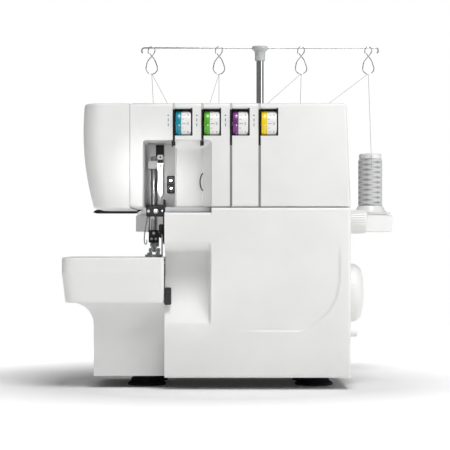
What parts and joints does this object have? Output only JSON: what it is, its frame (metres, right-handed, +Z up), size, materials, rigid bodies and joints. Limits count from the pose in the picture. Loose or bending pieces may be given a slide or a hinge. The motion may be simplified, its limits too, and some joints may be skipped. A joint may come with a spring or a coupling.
{
  "type": "overlock sewing machine",
  "caption": "Overlock sewing machine with a two-part white casing, coloured tension dials, needle recess, side handwheel and a rear thread stand with a telescopic guide.",
  "frame": {"origin": "centre of the footprint's bounding box, on the bench under the rubber feet", "axes": "+X to the operator's right (handwheel side), +Y away from the operator, +Z up"},
  "size_m": [0.355, 0.279, 0.3664],
  "materials": {
    "white_shell": "white injection-moulded ABS, satin",
    "light_grey_shell": "light grey moulded plastic",
    "black_plastic": "black moulded plastic",
    "black_rubber": "matt black rubber",
    "cast_alloy": "bead-blasted die casting",
    "bright_steel": "ground steel",
    "chrome": "bright chrome plate",
    "blue_dial": "blue-green ring on a white dial",
    "green_dial": "green ring on a white dial",
    "purple_dial": "purple ring on a white dial",
    "yellow_dial": "yellow ring on a white dial",
    "silver_thread": "wound polyester thread"
  },
  "bodies": {
    "machine": {"upper_housing": "white_shell", "face_cover": "white_shell", "lower_housing": "white_shell", "base_tray": "black_plastic", "foot_front_left": "black_rubber", "foot_rear_left": "black_rubber", "foot_front_right": "black_rubber", "foot_rear_right": "black_rubber", "free_arm": "light_grey_shell", "needle_plate": "bright_steel", "head_bracket": "black_plastic", "needle_thread_guide": "black_plastic", "lower_knife": "bright_steel", "main_frame": "cast_alloy", "motor": "cast_alloy", "drive_belt": "black_rubber", "power_inlet": "black_plastic", "dial_spindle": "bright_steel", "spool_stand": "white_shell", "pole_socket": "chrome"},
    "handwheel_shaft": {"main_shaft": "bright_steel", "handwheel": "white_shell", "shaft_pulley": "black_plastic"},
    "motor_rotor": {"motor_pulley": "black_plastic"},
    "needle_group": {"needle_bar": "bright_steel", "needle_clamp": "black_plastic", "needle_clamp_screw": "black_plastic", "needle_left": "chrome", "needle_right": "chrome", "needle_thread_takeup": "chrome"},
    "knife_group": {"upper_knife_holder": "black_plastic", "upper_knife": "chrome"},
    "upper_looper_arm": {"upper_looper": "bright_steel"},
    "lower_looper_arm": {"lower_looper": "bright_steel"},
    "feed": {"feed_dog": "bright_steel"},
    "presser": {"presser_bar": "bright_steel", "presser_foot": "chrome"},
    "lifter": {"presser_lifter": "bright_steel"},
    "cover_carrier": {"cover_hinge_rod": "bright_steel"},
    "cover": {"looper_cover": "white_shell", "cover_catch": "black_plastic"},
    "table": {"extension_table": "white_shell"},
    "dial_1": {"tension_dial_blue": "blue_dial"},
    "dial_2": {"tension_dial_green": "green_dial"},
    "dial_3": {"tension_dial_purple": "purple_dial"},
    "dial_4": {"tension_dial_yellow": "yellow_dial"},
    "stitch_dial": {"stitch_length_dial": "white_shell"},
    "feed_knob": {"differential_feed_knob": "white_shell"},
    "rocker": {"power_rocker": "black_plastic"},
    "guide": {"upper_pole": "chrome", "guide_collar": "light_grey_shell", "guide_bar": "chrome", "thread_eye_1": "chrome", "thread_eye_2": "chrome", "thread_eye_3": "chrome", "thread_eye_4": "chrome"},
    "thread_1": {"spool_1": "silver_thread"},
    "thread_2": {"spool_2": "silver_thread"},
    "thread_3": {"spool_3": "silver_thread"},
    "thread_4": {"spool_4": "silver_thread"}
  },
  "joints": [
    {"name": "handwheel_turn", "type": "hinge", "parent": "machine", "child": "handwheel_shaft", "pos_m": [0.113, -0.0605, 0.0951], "axis": [1, 0, 0], "continuous": true},
    {"name": "motor_turn", "type": "hinge", "parent": "machine", "child": "motor_rotor", "pos_m": [0.081, -0.0175, 0.047], "axis": [1, 0, 0], "continuous": true},
    {"name": "needle_stroke", "type": "slide", "parent": "machine", "child": "needle_group", "axis": [0, 0, -1], "range_m": [-0.0136, 0.0102]},
    {"name": "knife_stroke", "type": "slide", "parent": "machine", "child": "knife_group", "axis": [0, 0, -1], "range_m": [-0.0048, 0.0033]},
    {"name": "upper_looper_swing", "type": "hinge", "parent": "machine", "child": "upper_looper_arm", "pos_m": [-0.062, -0.0665, 0.072], "axis": [0, 1, 0], "range_deg": [-7.34, 5.05]},
    {"name": "lower_looper_swing", "type": "hinge", "parent": "machine", "child": "lower_looper_arm", "pos_m": [-0.08, -0.0765, 0.06], "axis": [0, 1, 0], "range_deg": [-5.05, 7.34]},
    {"name": "feed_stroke", "type": "slide", "parent": "machine", "child": "feed", "axis": [0, 1, 0], "range_m": [-0.0022, 0.0016]},
    {"name": "lifter_turn", "type": "hinge", "parent": "machine", "child": "lifter", "pos_m": [-0.1, 0.0205, 0.192], "axis": [0, 1, 0], "range_deg": [0, 40]},
    {"name": "presser_lift", "type": "slide", "parent": "machine", "child": "presser", "axis": [0, 0, 1], "range_m": [0, 0.0052]},
    {"name": "cover_slide", "type": "slide", "parent": "machine", "child": "cover_carrier", "axis": [1, 0, 0], "range_m": [0, 0.008]},
    {"name": "cover_open", "type": "hinge", "parent": "cover_carrier", "child": "cover", "pos_m": [0.0195, -0.1195, 0.026], "axis": [1, 0, 0], "range_deg": [0, 74]},
    {"name": "table_slide", "type": "slide", "parent": "machine", "child": "table", "axis": [-1, 0, 0], "range_m": [0, 0.108]},
    {"name": "dial_1_turn", "type": "hinge", "parent": "machine", "child": "dial_1", "pos_m": [-0.0626, -0.1265, 0.267], "axis": [1, 0, 0], "range_deg": [-150, 150]},
    {"name": "dial_2_turn", "type": "hinge", "parent": "machine", "child": "dial_2", "pos_m": [-0.034, -0.1265, 0.267], "axis": [1, 0, 0], "range_deg": [-150, 150]},
    {"name": "dial_3_turn", "type": "hinge", "parent": "machine", "child": "dial_3", "pos_m": [-0.0054, -0.1265, 0.267], "axis": [1, 0, 0], "range_deg": [-150, 150]},
    {"name": "dial_4_turn", "type": "hinge", "parent": "machine", "child": "dial_4", "pos_m": [0.0232, -0.1265, 0.267], "axis": [1, 0, 0], "range_deg": [-150, 150]},
    {"name": "stitch_dial_turn", "type": "hinge", "parent": "machine", "child": "stitch_dial", "pos_m": [0.1134, -0.0755, 0.169], "axis": [1, 0, 0], "range_deg": [-120, 120]},
    {"name": "feed_knob_turn", "type": "hinge", "parent": "machine", "child": "feed_knob", "pos_m": [0.1134, -0.0835, 0.054], "axis": [1, 0, 0], "range_deg": [-60, 60]},
    {"name": "rocker_tip", "type": "hinge", "parent": "machine", "child": "rocker", "pos_m": [0.11, -0.0245, 0.058], "axis": [0, 1, 0], "range_deg": [-1, 20]},
    {"name": "pole_slide", "type": "slide", "parent": "machine", "child": "guide", "axis": [0, 0, -1], "range_m": [0, 0.085]},
    {"name": "spool_1_lift", "type": "slide", "parent": "machine", "child": "thread_1", "axis": [0, 0, 1], "range_m": [0, 0.07]},
    {"name": "spool_2_lift", "type": "slide", "parent": "machine", "child": "thread_2", "axis": [0, 0, 1], "range_m": [0, 0.07]},
    {"name": "spool_3_lift", "type": "slide", "parent": "machine", "child": "thread_3", "axis": [0, 0, 1], "range_m": [0, 0.07]},
    {"name": "spool_4_lift", "type": "slide", "parent": "machine", "child": "thread_4", "axis": [0, 0, 1], "range_m": [0, 0.07]}
  ],
  "couplings": [
    {"joint": "motor_turn", "follows": "handwheel_turn", "ratio": 2.7204},
    {"joint": "knife_stroke", "follows": "needle_stroke", "ratio": 0.3},
    {"joint": "upper_looper_swing", "follows": "needle_stroke", "rad_per_m": 8},
    {"joint": "lower_looper_swing", "follows": "needle_stroke", "rad_per_m": -8},
    {"joint": "feed_stroke", "follows": "needle_stroke", "ratio": 0.13},
    {"joint": "presser_lift", "follows": "lifter_turn", "m_per_rad": 0.0074}
  ]
}
